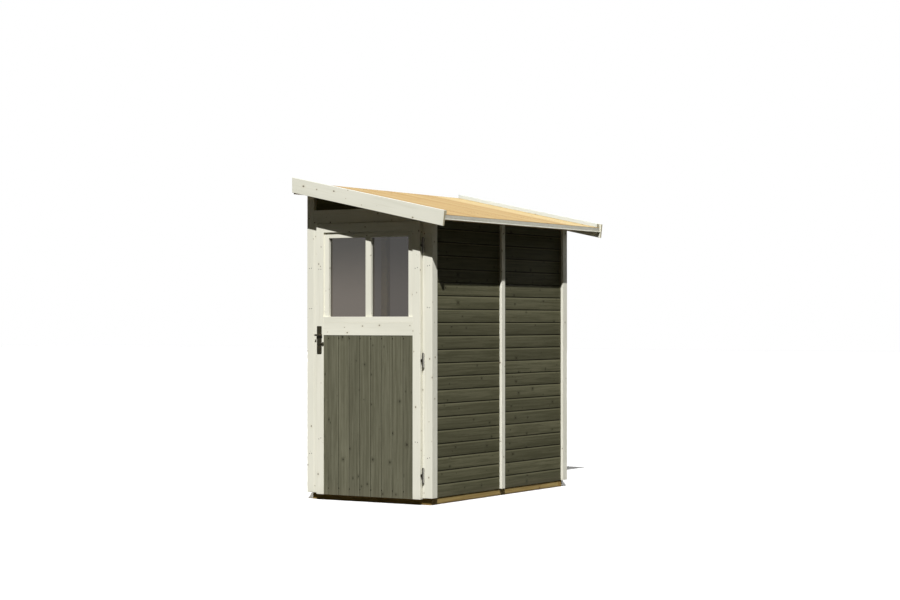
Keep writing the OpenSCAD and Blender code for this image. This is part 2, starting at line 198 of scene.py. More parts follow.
class Finish:
    """A material and the nodes that make it."""

    def __init__(self, name, tree=None):
        self.material = None
        if tree is None:
            self.material = bpy.data.materials.new(name)
            self.material.use_nodes = True
            tree = self.material.node_tree
        self.tree = tree
        self.tree.nodes.clear()

    def node(self, kind, settings, sockets, output=0):
        """A node with its settings, then its socket values and links; gives one of its outputs."""
        made = self.tree.nodes.new(kind)
        for name, value in settings.items():
            if name == "stops":
                self.set_stops(made.color_ramp, value)
            else:
                setattr(made, name, value)
        for name, value in sockets.items():
            if isinstance(value, Value):
                self.tree.links.new(value.socket, made.inputs[name])
            else:
                made.inputs[name].default_value = value
        return Value(self, made.outputs[output]) if made.outputs else None

    @staticmethod
    def set_stops(ramp, stops):
        """Puts (place, colour) stops on a colour ramp."""
        while len(ramp.elements) < len(stops):
            ramp.elements.new(0.5)
        for element, (place, colour) in zip(ramp.elements, stops):
            element.position = place
            element.color = colour

    def math(self, operation, a, b):
        """A Math node on two values or numbers."""
        return self.node("ShaderNodeMath", {"operation": operation}, {0: a, 1: b})

    def smooth(self, value, low, high):
        """0 below low, 1 above high, and a soft step between them; low may be above high."""
        return self.node("ShaderNodeMapRange", {"interpolation_type": "SMOOTHSTEP"},
                         {"Value": value, "From Min": low, "From Max": high})

    def mix(self, share, first, second):
        """A colour between two colours."""
        return self.node("ShaderNodeMix", {"data_type": "RGBA"}, {0: share, 6: first, 7: second}, 2)

    def join(self, x, y, z):
        """A vector from three values."""
        return self.node("ShaderNodeCombineXYZ", {}, {0: x, 1: y, 2: z})

    def split(self, vector):
        """The three values of a vector."""
        made = self.node("ShaderNodeSeparateXYZ", {}, {0: vector}).socket.node
        return [Value(self, made.outputs[i]) for i in range(3)]

    def position(self):
        """The place on a piece, in the frame that all pieces share."""
        return self.split(self.node("ShaderNodeTexCoord", {}, {}, 3))

    def attribute(self, name):
        """A number that a piece's mesh carries by name."""
        return self.node("ShaderNodeAttribute", {"attribute_name": name}, {}, 2)

    def noise(self, vector, detail=2.0, roughness=0.5, distortion=0.0):
        """Soft noise between 0 and 1."""
        return self.node("ShaderNodeTexNoise", {},
                         {"Vector": vector, "Scale": 1.0, "Detail": detail, "Roughness": roughness,
                          "Distortion": distortion})

    def bump(self, height, strength, distance):
        """A normal that follows a height."""
        return self.node("ShaderNodeBump", {},
                         {"Height": height, "Strength": strength, "Distance": distance})

    def surface(self, **sockets):
        """The shader of the finish; names are those of its sockets with _ for spaces."""
        named = {name.replace("_", " "): value for name, value in sockets.items()}
        if "Specular Level" in named:
            named["Specular IOR Level"] = named.pop("Specular Level")
        shader = self.node("ShaderNodeBsdfPrincipled", {}, named)
        self.node("ShaderNodeOutputMaterial", {}, {"Surface": shader})
        return self.material


def tint(colour):
    """A colour with full cover."""
    return (*colour, 1.0)


def toned(colour, tone):
    """A colour with each part times a share of its own."""
    return tuple(part * share for part, share in zip(colour, tone))


def scaled(colour, share):
    """A colour made lighter or darker by one share."""
    return tuple(part * share for part in colour)


def grain_axes(finish, run):
    """Distances along the grain and two ways across it, for timber that runs in a named direction."""
    x, y, z = finish.position()
    if run == "upright":
        return z, x, y
    if run == "level":
        return x, y, z
    if run == "deep":
        return y, x, z
    along = x * math.cos(ROOF_PITCH) - z * math.sin(ROOF_PITCH)
    rise = x * math.sin(ROOF_PITCH) + z * math.cos(ROOF_PITCH)
    return along, y, rise


class Grain:
    """Knots, growth rings and fibres of sawn softwood that runs in one direction."""

    # Waves to the metre along and across the grain, and how far apart the grain of two boards lies
    RINGS = (2.6, 75.0)
    FIBRES = (14.0, 520.0)
    CLOUDS = (1.7, 9.0)
    BOARD_JUMP = 37.0

    def __init__(self, finish, run, knot_every, knot_radius, knot_share):
        along, side, face = grain_axes(finish, run)
        self.board = finish.attribute("board")
        jump = self.board * self.BOARD_JUMP
        length, width = knot_every
        cell_along = along / length + jump
        cell_across = (side + face) / width + jump * 0.7
        cells = {"voronoi_dimensions": "2D", "feature": "F1"}
        spot = finish.join(cell_along, cell_across, 0.0)
        knots = {"Vector": spot, "Scale": 1.0, "Randomness": 0.9}
        place = finish.node("ShaderNodeTexVoronoi", cells, knots, 2)
        chance = finish.split(Value(finish, place.socket.node.outputs[1]))[0]
        knot_along, knot_across = finish.split(place)[:2]
        off_along = (cell_along - knot_along) * length
        off_across = (cell_across - knot_across) * width
        radius = finish.math("MAXIMUM", chance - (1 - knot_share), 0.0) * (knot_radius / knot_share)
        distance = finish.math("SQRT", off_along * off_along * 0.5 + off_across * off_across, 0.0)
        self.knot = finish.smooth(distance, radius, radius * 0.55)
        self.halo = finish.smooth(distance, radius * 3.2 + 0.0001, radius)
        bend = off_across / (distance + 0.002) * self.halo * radius * 1.6
        side = side + bend
        face = face + bend
        length, width = self.RINGS
        rings = finish.join(along * length + jump, side * width, face * width + jump)
        self.rings = finish.noise(rings, 2.5, 0.55, 0.35)
        length, width = self.FIBRES
        fibres = finish.join(along * length + jump, side * width, face * width)
        self.fibres = finish.noise(fibres, 2.0, 0.6)
        length, width = self.CLOUDS
        self.cloud = finish.noise(finish.join(along * length + jump, side * width, face * width), 2.0)
        self.height = finish.position()[2]


def white_finish(name, run, tone=(1.0, 1.0, 1.0), knot_radius=0.0060):
    """Off-white paint on planed timber: the grain and small knots show through."""
    finish = Finish(name)
    grain = Grain(finish, run, (0.13, 0.052), knot_radius, 0.5)
    plain = toned((0.79, 0.772, 0.66), tone)
    dusty = toned((0.735, 0.72, 0.612), tone)
    coat = finish.mix(finish.smooth(grain.cloud, 0.35, 0.7), tint(plain), tint(dusty))
    lines = finish.smooth(grain.rings, 0.52, 0.72) * 0.34
    coat = finish.mix(lines, coat, tint((0.62, 0.60, 0.485)))
    coat = finish.mix(finish.smooth(grain.fibres, 0.55, 0.8) * 0.22, coat, tint((0.66, 0.64, 0.53)))
    coat = finish.mix(grain.board * 0.16, coat, tint((0.66, 0.65, 0.56)))
    coat = finish.mix(grain.halo * 0.2, coat, tint((0.58, 0.53, 0.38)))
    coat = finish.mix(grain.knot * 0.9, coat, tint((0.13, 0.10, 0.065)))
    splash = finish.smooth(grain.height + grain.cloud * 0.12, 0.16, 0.06)
    coat = finish.mix(splash * 0.22, coat, tint((0.42, 0.38, 0.28)))
    worn = finish.attribute("edge") * finish.smooth(grain.rings, 0.5, 0.66)
    coat = finish.mix(worn * 0.1, coat, tint((0.55, 0.47, 0.33)))
    coat = finish.mix(finish.attribute("end") * 0.85, coat, tint((0.47, 0.41, 0.25)))
    relief = grain.rings * 0.5 + grain.fibres * 0.35 - grain.knot * 0.5
    rough = 0.50 + grain.fibres * 0.14 + grain.knot * 0.1
    return finish.surface(Base_Color=coat, Roughness=rough, Specular_Level=0.16,
                          Normal=finish.bump(relief, 0.30, 0.0012))


def grey_finish(name, run, light, dark, joints, board_share=0.5, highlight_share=0.45):
    """Grey-olive stain on softwood boards: grain, streaks and knots, each board with its own tone; painted
    shade and highlight at the joints.

    joints gives the axis across the boards, where the first joint lies, the boards' width, and how far the
    painted shade reaches beside a joint.
    """
    finish = Finish(name)
    grain = Grain(finish, run, (0.20, 0.055), 0.0085, 0.5)
    stain = finish.mix(finish.smooth(grain.rings, 0.3, 0.68), tint(light), tint(dark))
    pale = scaled(light, 1.45)
    stain = finish.mix(finish.smooth(grain.fibres, 0.56, 0.78) * 0.5, stain, tint(pale))
    deep = scaled(dark, 0.55)
    stain = finish.mix(finish.smooth(grain.fibres, 0.46, 0.26) * 0.5, stain, tint(deep))
    stain = finish.mix(finish.smooth(grain.cloud, 0.45, 0.75) * 0.35, stain, tint(dark))
    stain = finish.mix(grain.board * board_share, stain, tint(deep))
    stain = finish.mix(grain.halo * 0.4, stain, tint(deep))
    stain = finish.mix(grain.knot * 0.68, stain, tint((0.018, 0.015, 0.009)))
    worn = finish.attribute("edge") * finish.smooth(grain.rings, 0.42, 0.62)
    stain = finish.mix(worn * 0.35, stain, tint(pale))
    splash = finish.smooth(grain.height + grain.cloud * 0.10, 0.17, 0.07)
    stain = finish.mix(splash * 0.25, stain, tint((0.16, 0.14, 0.095)))
    relief = grain.rings * 0.6 + grain.fibres * 0.5 - grain.knot * 0.6
    axis, start, cover, reach = joints
    # Painted shade next to each joint, where the board above shades the bevel, and a painted highlight on
    # the bevel's lit strip beyond it; the door's grooves get the same
    place = finish.math("FRACT", (finish.position()[axis] - start) / cover, 0.0)
    joint_painted_shade = finish.smooth(place, 1 - reach / cover, 1 - 0.5 * reach / cover)
    bevel_painted_highlight = finish.smooth(place, 1 - 1.7 * reach / cover, 1 - 1.4 * reach / cover)
    stain = finish.mix(bevel_painted_highlight * highlight_share, stain, tint(pale))
    stain = finish.mix(joint_painted_shade * 0.9, stain, tint(scaled(dark, 0.2)))
    rough = 0.58 + grain.fibres * 0.16
    return finish.surface(Base_Color=stain, Roughness=rough, Specular_Level=0.015,
                          Normal=finish.bump(relief, 0.45, 0.0014))


def raw_finish(name, run, light, middle, dark, foot_shade_share=0.85):
    """Planed softwood without paint: warm rings, streaks and brown knots, each board with its own tone."""
    finish = Finish(name)
    grain = Grain(finish, run, (0.38, 0.09), 0.011, 0.45)
    stops = [(0.28, tint(light)), (0.52, tint(middle)), (0.74, tint(dark))]
    wood = finish.node("ShaderNodeValToRGB", {"stops": stops}, {0: grain.rings})
    wood = finish.mix(finish.smooth(grain.fibres, 0.55, 0.8) * 0.3, wood, tint(dark))
    wood = finish.mix(finish.smooth(grain.cloud, 0.42, 0.72) * 0.4, wood, tint(light))
    amber = toned(middle, (0.86, 0.72, 0.55))
    wood = finish.mix(grain.board * 0.75, wood, tint(amber))
    cream = toned(light, (1.24, 1.30, 1.36))
    wood = finish.mix(finish.smooth(grain.board, 0.16, 0.08) * 0.36, wood, tint(cream))
    wood = finish.mix(grain.halo * 0.35, wood, tint(amber))
    wood = finish.mix(grain.knot * 0.85, wood, tint((0.13, 0.06, 0.025)))
    wood = finish.mix(finish.attribute("end") * 0.8, wood, tint((0.25, 0.125, 0.05)))
    # Painted contact shade: the wood is darker towards its foot, where it meets the floor
    foot_shade = finish.smooth(grain.height + grain.cloud * 0.010, 0.020, 0.008)
    wood = finish.mix(foot_shade * foot_shade_share, wood, tint((0.07, 0.042, 0.024)))
    relief = grain.rings * 0.6 + grain.fibres * 0.5 - grain.knot * 0.4
    rough = 0.55 + grain.fibres * 0.18
    return finish.surface(Base_Color=wood, Roughness=rough, Specular_Level=0.07,
                          Normal=finish.bump(relief, 0.35, 0.0012))


def zinc_finish():
    """Galvanised sheet: a faint spangle of crystals, dull with a few brighter flakes."""
    finish = Finish("galvanised_sheet")
    x, y, z = finish.position()
    place = finish.join(x, y, z)
    flakes = finish.node("ShaderNodeTexVoronoi", {"feature": "F1"}, {"Vector": place, "Scale": 95.0}, 1)
    flake = finish.split(flakes)[0]
    cloud = finish.noise(finish.join(x * 14.0, y * 4.0, z * 14.0), 3.0)
    sheet = finish.mix(flake * 0.7 + cloud * 0.3, tint((0.36, 0.35, 0.29)), tint((0.47, 0.46, 0.385)))
    sheet = finish.mix(finish.smooth(cloud, 0.55, 0.75) * 0.35, sheet, tint((0.55, 0.53, 0.44)))
    rough = 0.54 + flake * 0.16 + cloud * 0.1
    return finish.surface(Base_Color=sheet, Roughness=rough, Metallic=0.45,
                          Normal=finish.bump(flake + cloud * 0.5, 0.08, 0.0006))


def steel_finish():
    """Dark steel of the nails and screws with fine drawn lines and dull spots."""
    finish = Finish("burnished_steel")
    bright = (0.050, 0.044, 0.031)
    dull = (0.020, 0.017, 0.012)
    x, y, z = finish.position()
    drawn = finish.noise(finish.join(x * 900.0, y * 900.0, z * 40.0), 2.0)
    spots = finish.noise(finish.join(x * 120.0, y * 120.0, z * 120.0), 3.0)
    steel = finish.mix(finish.smooth(spots, 0.4, 0.7), tint(bright), tint(dull))
    steel = finish.mix(drawn * 0.3, steel, tint(scaled(bright, 1.6)))
    rough = 0.40 + spots * 0.22
    return finish.surface(Base_Color=steel, Roughness=rough, Metallic=0.3, Specular_Level=0.3,
                          Normal=finish.bump(drawn + spots, 0.10, 0.0004))


def hinge_finish():
    """Plated steel with painted shade on the door's side of the barrels, and dull spots of dirt."""
    finish = Finish("hinge_steel")
    x, y, z = finish.position()
    spots = finish.noise(finish.join(x * 120.0, y * 120.0, z * 120.0), 3.0)
    low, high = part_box("hinge_pin_low")
    split = low.x * 0.35 + high.x * 0.65
    # Painted shade: dark on the door's side of a line down each barrel, pale beyond it
    plain = finish.smooth(x + (spots - 0.5) * 0.003, split - 0.0010, split + 0.0010)
    steel = finish.mix(plain, tint((0.020, 0.017, 0.011)), tint((0.30, 0.29, 0.25)))
    steel = finish.mix(finish.smooth(spots, 0.5, 0.75) * 0.5, steel, tint((0.12, 0.11, 0.085)))
    rough = 0.50 + spots * 0.22
    return finish.surface(Base_Color=steel, Roughness=rough, Metallic=0.08, Specular_Level=0.1,
                          Normal=finish.bump(spots, 0.10, 0.0004))


def iron_finish():
    """Black lacquered iron with a hammered skin and edges rubbed brown."""
    finish = Finish("black_iron")
    x, y, z = finish.position()
    dents = finish.noise(finish.join(x * 260.0, y * 260.0, z * 260.0), 1.5)
    dust = finish.noise(finish.join(x * 45.0, y * 45.0, z * 45.0), 4.0, 0.65)
    dusty = finish.smooth(dust, 0.45, 0.72)
    lacquer = finish.mix(dusty, tint((0.023, 0.021, 0.012)), tint((0.041, 0.035, 0.019)))
    rubbed = finish.attribute("edge") * finish.smooth(dust, 0.40, 0.6)
    lacquer = finish.mix(rubbed * 0.3, lacquer, tint((0.095, 0.072, 0.045)))
    return finish.surface(Base_Color=lacquer, Roughness=0.46 + dust * 0.2, Specular_Level=0.10,
                          Normal=finish.bump(dents, 0.22, 0.0010))


def glass_finish():
    """Smoky window glass, with a painted reflection that lightens it towards its foot, and darker on the
    hinge side.
    """
    finish = Finish("smoky_glass")
    x, y, z = finish.position()
    dust = finish.noise(finish.join(x * 7.0, y * 7.0, z * 5.0), 4.0, 0.6)
    low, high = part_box("window_pane")
    up = (z - low.z) / (high.z - low.z)
    # Painted reflection: the tint is lighter towards the foot of the pane and darker towards its top
    painted_reflection_fade = finish.smooth(up + (dust - 0.5) * 0.2, 1.02, 0.14)
    smoke = finish.mix(painted_reflection_fade, tint((0.038, 0.034, 0.027)), tint((0.128, 0.108, 0.088)))
    across = finish.smooth(x, low.x * 0.60 + high.x * 0.40, low.x * 0.40 + high.x * 0.60)
    smoke = finish.mix(across * 0.5, smoke, tint((0.002, 0.002, 0.003)))
    return finish.surface(Base_Color=smoke, Roughness=0.02 + dust * 0.01, IOR=1.50,
                          Transmission_Weight=1.0, Coat_Weight=0.4)


def board_joints(node):
    """The level joints between a wall's boards, with painted shade below each joint."""
    return 2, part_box(node)[0].z, BOARD_COVER, BOARD_SHADE


def panel_joints():
    """The upright grooves between the door's boards, with painted shade and a painted highlight beside
    each.
    """
    return 0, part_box("door_panel")[0].x + PANEL_FIRST + PANEL_GROOVE * 0.4, PANEL_COVER, PANEL_GROOVE


white_upright = white_finish("white_paint_upright", "upright")
white_level = white_finish("white_paint_level", "level")
white_slope = white_finish("white_paint_slope", "slope", tone=FASCIA_TONE, knot_radius=0.0088)
white_batten = white_finish("white_paint_batten", "slope", tone=BATTEN_TONE)
wall_grey = grey_finish("wall_stain", "deep", *WALL_GREY, board_joints("right_wall_front"))
rear_grey = grey_finish("rear_stain", "level", *WALL_GREY, board_joints("rear_wall"))
gable_grey = grey_finish("gable_stain", "level", *GABLE_GREY, board_joints("front_gable"))
panel_grey = grey_finish("panel_stain", "upright", *PANEL_GREY, panel_joints(), board_share=0.34,
                         highlight_share=0.18)
roof_wood = raw_finish("roof_wood", "slope", *RAW_ROOF)
floor_wood = raw_finish("floor_wood", "deep", *RAW_FLOOR)
base_wood_deep = raw_finish("base_wood_deep", "deep", *RAW_BASE)
base_wood_level = raw_finish("base_wood_level", "level", *RAW_BASE, foot_shade_share=0.2)
zinc = zinc_finish()
dark_steel = steel_finish()
hinge_steel = hinge_finish()
iron = iron_finish()
glass = glass_finish()


def open_piece(piece, chosen=None):
    """Opens a piece for editing with the points selected that chosen() picks, or all of them."""
    bpy.ops.object.select_all(action="DESELECT")
    bpy.context.view_layer.objects.active = piece
    piece.select_set(True)
    bpy.context.tool_settings.mesh_select_mode = (True, False, False)
    mesh = piece.data
    picked = [chosen is None or bool(chosen(vertex.co)) for vertex in mesh.vertices]
    mesh.vertices.foreach_set("select", picked)
    for edge in mesh.edges:
        edge.select = all(picked[i] for i in edge.vertices)
    for face in mesh.polygons:
        face.select = all(picked[i] for i in face.vertices)
    bpy.ops.object.mode_set(mode="EDIT")


def close_piece():
    """Ends the editing of a piece."""
    bpy.ops.object.mode_set(mode="OBJECT")


def set_in_place(name):
    """Names the primitive that was just added and puts its place into its mesh."""
    piece = bpy.context.object
    piece.name = name
    bpy.ops.object.transform_apply(location=True, rotation=True, scale=True)
    return piece


def block(name, low, high):
    """A block between two corners."""
    bpy.ops.object.select_all(action="DESELECT")
    low, high = Vector(low), Vector(high)
    bpy.ops.mesh.primitive_cube_add(size=1, location=(low + high) / 2, scale=high - low)
    return set_in_place(name)


def rod(name, start, end, radius, sides=24):
    """A round bar from one point to another."""
    bpy.ops.object.select_all(action="DESELECT")
    start, end = Vector(start), Vector(end)
    turn = (end - start).to_track_quat("Z", "Y").to_euler()
    bpy.ops.mesh.primitive_cylinder_add(vertices=sides, radius=radius, depth=(end - start).length,
                                        location=(start + end) / 2, rotation=turn)
    return set_in_place(name)


def ring_at(piece, point, normal):
    """Adds a ring of edges where a plane meets a piece."""
    open_piece(piece)
    bpy.ops.mesh.bisect(plane_co=point, plane_no=normal)
    close_piece()


def saw_off(piece, point, normal):
    """Saws off what lies on the side of a plane that its normal points to."""
    open_piece(piece)
    bpy.ops.mesh.bisect(plane_co=point, plane_no=normal, use_fill=True, clear_outer=True)
    close_piece()


def shift(piece, chosen, move):
    """Moves the points of a piece that chosen() picks."""
    open_piece(piece, chosen)
    bpy.ops.transform.translate(value=move)
    close_piece()


def soften(piece, width, segments=2, angle=30):
    """Eases the edges of a piece and marks the narrow faces that this makes."""
    bpy.ops.object.select_all(action="DESELECT")
    bpy.context.view_layer.objects.active = piece
    piece.select_set(True)
    bpy.ops.object.shade_smooth()
    bevel = piece.modifiers.new("eased", "BEVEL")
    bevel.width = width
    bevel.segments = segments
    bevel.limit_method = "ANGLE"
    bevel.angle_limit = math.radians(angle)
    bevel.harden_normals = True
    bpy.ops.object.modifier_apply(modifier=bevel.name)
    mesh = piece.data
    edge = mesh.attributes.new("edge", "FLOAT", "FACE")
    for face in mesh.polygons:
        corners = [mesh.vertices[i].co for i in face.vertices]
        around = sum((a - b).length for a, b in zip(corners, corners[1:] + corners[:1]))
        narrow = 2 * face.area / around < 0.9 * width
        edge.data[face.index].value = 1.0 if narrow else 0.0
    return piece


def mark(piece, number=None):
    """Gives a board its own number, which sets its tone and shifts its grain."""
    if number is None:
        number = draw.random()
    layer = piece.data.attributes.new("board", "FLOAT", "POINT")
    layer.data.foreach_set("value", [number] * len(piece.data.vertices))
    return piece


def mark_ends(piece, run):
    """Marks the faces where the grain of a piece comes out."""
    layer = piece.data.attributes.new("end", "FLOAT", "FACE")
    for face in piece.data.polygons:
        layer.data[face.index].value = 1.0 if abs(face.normal.dot(run)) > 0.8 else 0.0
    return piece


def copy_of(piece, move):
    """A copy with its own mesh, moved to its place."""
    mesh = piece.data.copy()
    mesh.transform(Matrix.Translation(move))
    copy = bpy.data.objects.new(piece.name, mesh)
    bpy.context.scene.collection.objects.link(copy)
    return copy


def joined(pieces, name):
    """One piece made of several."""
    bpy.ops.object.select_all(action="DESELECT")
    for piece in pieces:
        piece.select_set(True)
    bpy.context.view_layer.objects.active = pieces[0]
    bpy.ops.object.join()
    pieces[0].name = name
    pieces[0].data.name = name
    return pieces[0]


def paint(piece, finish):
    """Gives a piece one finish in place of any that it has."""
    piece.data.materials.clear()
    piece.data.materials.append(finish)
    return piece


def fit(piece, body, slot, *nodes):
    """Puts a finished piece on its body, for the CAD nodes that it stands for."""
    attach(piece, body)
    if nodes:
        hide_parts(*nodes)


def under_roof(x):
    """Height of the roof deck's underside at a place across the shed."""
    low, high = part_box("roof_deck")
    return high.z - (x - low.x) * ROOF_SLOPE - ROOF_THICKNESS


def wall_board(low, high, outward):
    """A wall board between two corners; the top of its outer face is bevelled back."""
    board = block("board", low, high)
    bevel_foot = high[2] - BOARD_BEVEL
    ring_at(board, (0, 0, bevel_foot), UP)
    face = max(outward.dot(vertex.co) for vertex in board.data.vertices)
    shift(board, lambda p: p.z > bevel_foot + TINY and outward.dot(p) > face - TINY, outward * -BOARD_STEP)
    return board


def side_wall(node):
    """One bay of the right wall, board on board."""
    low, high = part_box(node)
    first = wall_board(low, (high.x, high.y, low.z + BOARD_COVER), OUT_RIGHT)
    # A top row under a fiftieth of a board is left out
    least_row = 0.02
    rows = math.ceil((high.z - low.z) / BOARD_COVER - least_row)
    boards = [first] + [copy_of(first, (0, 0, BOARD_COVER * i)) for i in range(1, rows)]
    saw_off(boards[-1], (0, 0, high.z), UP)
    for board in boards:
        mark(soften(board, BOARD_EASE, 1))
    wall = paint(joined(boards, node + "_boards"), wall_grey)
    fit(wall, "shed", "grey_paint", node)


def rear_wall():
    """The rear wall's boards, the top ones sawn to the roof and clear of the purlins."""
    low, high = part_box("rear_wall")
    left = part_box("purlin_high")[1].x
    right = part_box("purlin_low")[0].x
    boards = []
    z = low.z
    while z < high.z - BOARD_BEVEL:
        top = z + BOARD_COVER
        x0 = low.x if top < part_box("purlin_high")[0].z else left
        x1 = high.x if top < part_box("purlin_low")[0].z else right
        board = wall_board((x0, low.y, z), (x1, high.y, top), OUT_REAR)
        if top > under_roof(x1):
            saw_off(board, (x1, 0, under_roof(x1) - ROOF_CLEARANCE), ROOF_NORMAL)
        boards.append(mark(soften(board, BOARD_EASE, 1)))
        z = top
    wall = paint(joined(boards, "rear_wall_boards"), rear_grey)
    fit(wall, "shed", "grey_paint", "rear_wall")


def gable():
    """The boards of the triangle over the door, sawn to the roof."""
    low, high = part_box("front_gable")
    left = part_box("purlin_high")[1].x
    boards = []
    z = low.z
    while z < high.z - BOARD_BEVEL:
        top = z + BOARD_COVER
        x0 = low.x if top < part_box("purlin_high")[0].z else left
        board = wall_board((x0, low.y, z), (high.x, high.y, top), OUT_FRONT)
        saw_off(board, (high.x, 0, under_roof(high.x) - ROOF_CLEARANCE), ROOF_NORMAL)
        boards.append(mark(soften(board, BOARD_EASE, 1)))
        z = top
    triangle = paint(joined(boards, "front_gable_boards"), gable_grey)
    fit(triangle, "shed", "grey_paint", "front_gable")


def roof():
    """The roof's boards, laid down the slope beside each other."""
    low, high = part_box("roof_deck")
    width = (high.y - low.y) / ROOF_BOARDS
    first = block("board", (low.x, low.y, high.z - ROOF_THICKNESS), (high.x, low.y + width, high.z))
    shift(first, lambda p: p.x > high.x - TINY, (0, 0, -(high.x - low.x) * ROOF_SLOPE))
    boards = [first] + [copy_of(first, (0, width * i, 0)) for i in range(1, ROOF_BOARDS)]
    for i, board in enumerate(boards):
        tone = draw.random()
        if i >= ROOF_BOARDS - PALE_ROOF_BOARDS:
            tone *= PALE_SHARE
        mark_ends(mark(soften(board, ROOF_EASE, 1), tone), DOWN_ROOF)
    fit(paint(joined(boards, "roof_boards"), roof_wood), "shed", "raw_wood", "roof_deck")


def floor_boards():
    """The floor's boards, from the front to the rear."""
    low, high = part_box("floor")
    width = (high.x - low.x) / FLOOR_BOARDS
    first = block("board", low, (low.x + width, high.y, high.z))
    boards = [first] + [copy_of(first, (width * i, 0, 0)) for i in range(1, FLOOR_BOARDS)]
    for board in boards:
        mark(soften(board, FLOOR_EASE, 1))
    fit(paint(joined(boards, "floor_boards"), floor_wood), "shed", "raw_wood", "floor")


def panel():
    """The door's upright boards with a groove between each two."""
    low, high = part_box("door_panel")
    joints = [low.x]
    x = low.x + PANEL_FIRST
    while x < high.x - PANEL_GROOVE:
        joints.append(x)
        x += PANEL_COVER
    joints.append(high.x)
    boards = []
    for x0, x1 in zip(joints, joints[1:]):
        board = block("board", (x0, low.y, low.z), (x1, high.y, high.z))
        for x in (x0, x1):
            if abs(x - low.x) > TINY and abs(x - high.x) > TINY:
                open_piece(board, lambda p, x=x: abs(p.x - x) < TINY and p.y < low.y + TINY)
                bpy.ops.mesh.bevel(offset=PANEL_GROOVE, segments=1, affect="EDGES")
                close_piece()
        boards.append(mark(soften(board, PANEL_EASE, 1)))
    fit(paint(joined(boards, "door_boards"), panel_grey), "door", "grey_paint", "door_panel")


def from_node(node, name, width, segments=2):
    """A copy of a CAD node with its doubles merged and its edges eased."""
    piece = bpy.data.objects.new(name, frame["nodes"][node].data.copy())
    bpy.context.scene.collection.objects.link(piece)
    open_piece(piece)
    bpy.ops.mesh.remove_doubles(threshold=MERGE_DISTANCE)
    bpy.ops.mesh.dissolve_limited(angle_limit=math.radians(1))
    close_piece()
    if piece.data.has_custom_normals:
        bpy.ops.mesh.customdata_custom_splitnormals_clear()
    return soften(piece, width, segments)


def timbers():
    """The posts, frames, beams, purlins, fascias and battens with eased edges."""
    runs = [
        (white_upright, "white_paint", 0.0025,
         ("post_front_left", "post_front_right", "post_middle_left", "post_middle_right", "post_rear_left",
          "post_rear_right")),
        (white_upright, "white_paint", 0.0015,
         ("door_jamb_left", "door_jamb_right", "door_stile_left", "door_stile_right")),
        (white_level, "white_paint", 0.0015,
         ("door_header", "door_rail_top", "door_rail_middle", "door_ledge")),
        (white_slope, "white_paint", 0.0018, ("fascia_front", "fascia_rear")),
        (white_batten, "white_paint", 0.0018, ("edge_batten_front", "edge_batten_rear")),
        (floor_wood, "raw_wood", 0.0020, ("purlin_high", "purlin_low")),
        (base_wood_level, "raw_wood", 0.0025, ("base_beam_front", "base_beam_rear", "base_joist")),
        (base_wood_deep, "raw_wood", 0.0025, ("base_beam_left", "base_beam_right")),
    ]
    on_door = frame["record"]["behaviour"]["bodies"]["door"]
    for finish, slot, width, nodes in runs:
        for node in nodes:
            piece = paint(mark(from_node(node, node + "_timber", width)), finish)
            if finish in (white_slope, white_batten):
                mark_ends(piece, DOWN_ROOF)
            fit(piece, "door" if node in on_door else "shed", slot, node)


def sash_piece(piece, finish):
    """A strip of the window with eased edges, its own grain and its finish."""
    return paint(mark(soften(piece, SASH_EASE, 2)), finish)


def sash_strip(low, high, lip, finish):
    """A strip of the sash with a lip in front of the glass on the side that lip points to."""
    glass_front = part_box("window_pane")[0].y
    strip = block("strip", low, high)
    ring_at(strip, (0, glass_front, 0), OUT_REAR)
    lip = Vector(lip)
    edge = max(lip.dot(vertex.co) for vertex in strip.data.vertices)
    open_piece(strip, lambda p: lip.dot(p) > edge - TINY and p.y < glass_front + TINY)
    bpy.ops.mesh.extrude_region_move(TRANSFORM_OT_translate={"value": lip * GLASS_LAP})
    close_piece()
    return sash_piece(strip, finish)


def sash():
    """The window's sash: strips round two lights, a sill, a bar and a tongue behind the open joint."""
    low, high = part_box("window_sash")
    width = SASH_WIDTH - GLASS_LAP
    left, right = low.x + SASH_WIDTH, high.x - SASH_WIDTH
    top = high.z - HEAD_GAP
    strips = [
        sash_strip((low.x, low.y, low.z), (low.x + width, high.y, top), (1, 0, 0), white_upright),
        sash_strip((high.x - width, low.y, low.z), (high.x, high.y, top), (-1, 0, 0), white_upright),
        sash_strip((left, low.y, low.z), (right, high.y, low.z + width), (0, 0, 1), white_level),
        sash_strip((left, low.y, high.z - width), (right, high.y, top), (0, 0, -1), white_level),
    ]
    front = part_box("door_rail_middle")[0].y + SILL_SETBACK
    sill = block("sill", (low.x, front, low.z), (high.x, low.y, low.z + SASH_WIDTH))
    tongue = block("tongue", (low.x, low.y + HEAD_GAP_DEPTH, top), (high.x, high.y, high.z))
    middle = (low.x + high.x) / 2
    glass_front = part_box("window_pane")[0].y
    bar = block("bar", (middle - SASH_BAR / 2, low.y, low.z + SASH_WIDTH),
                (middle + SASH_BAR / 2, glass_front, high.z - SASH_WIDTH))
    strips.append(sash_piece(sill, white_level))
    strips.append(sash_piece(tongue, white_level))
    strips.append(sash_piece(bar, white_upright))
    fit(joined(strips, "window_sash_strips"), "door", "white_paint", "window_sash")


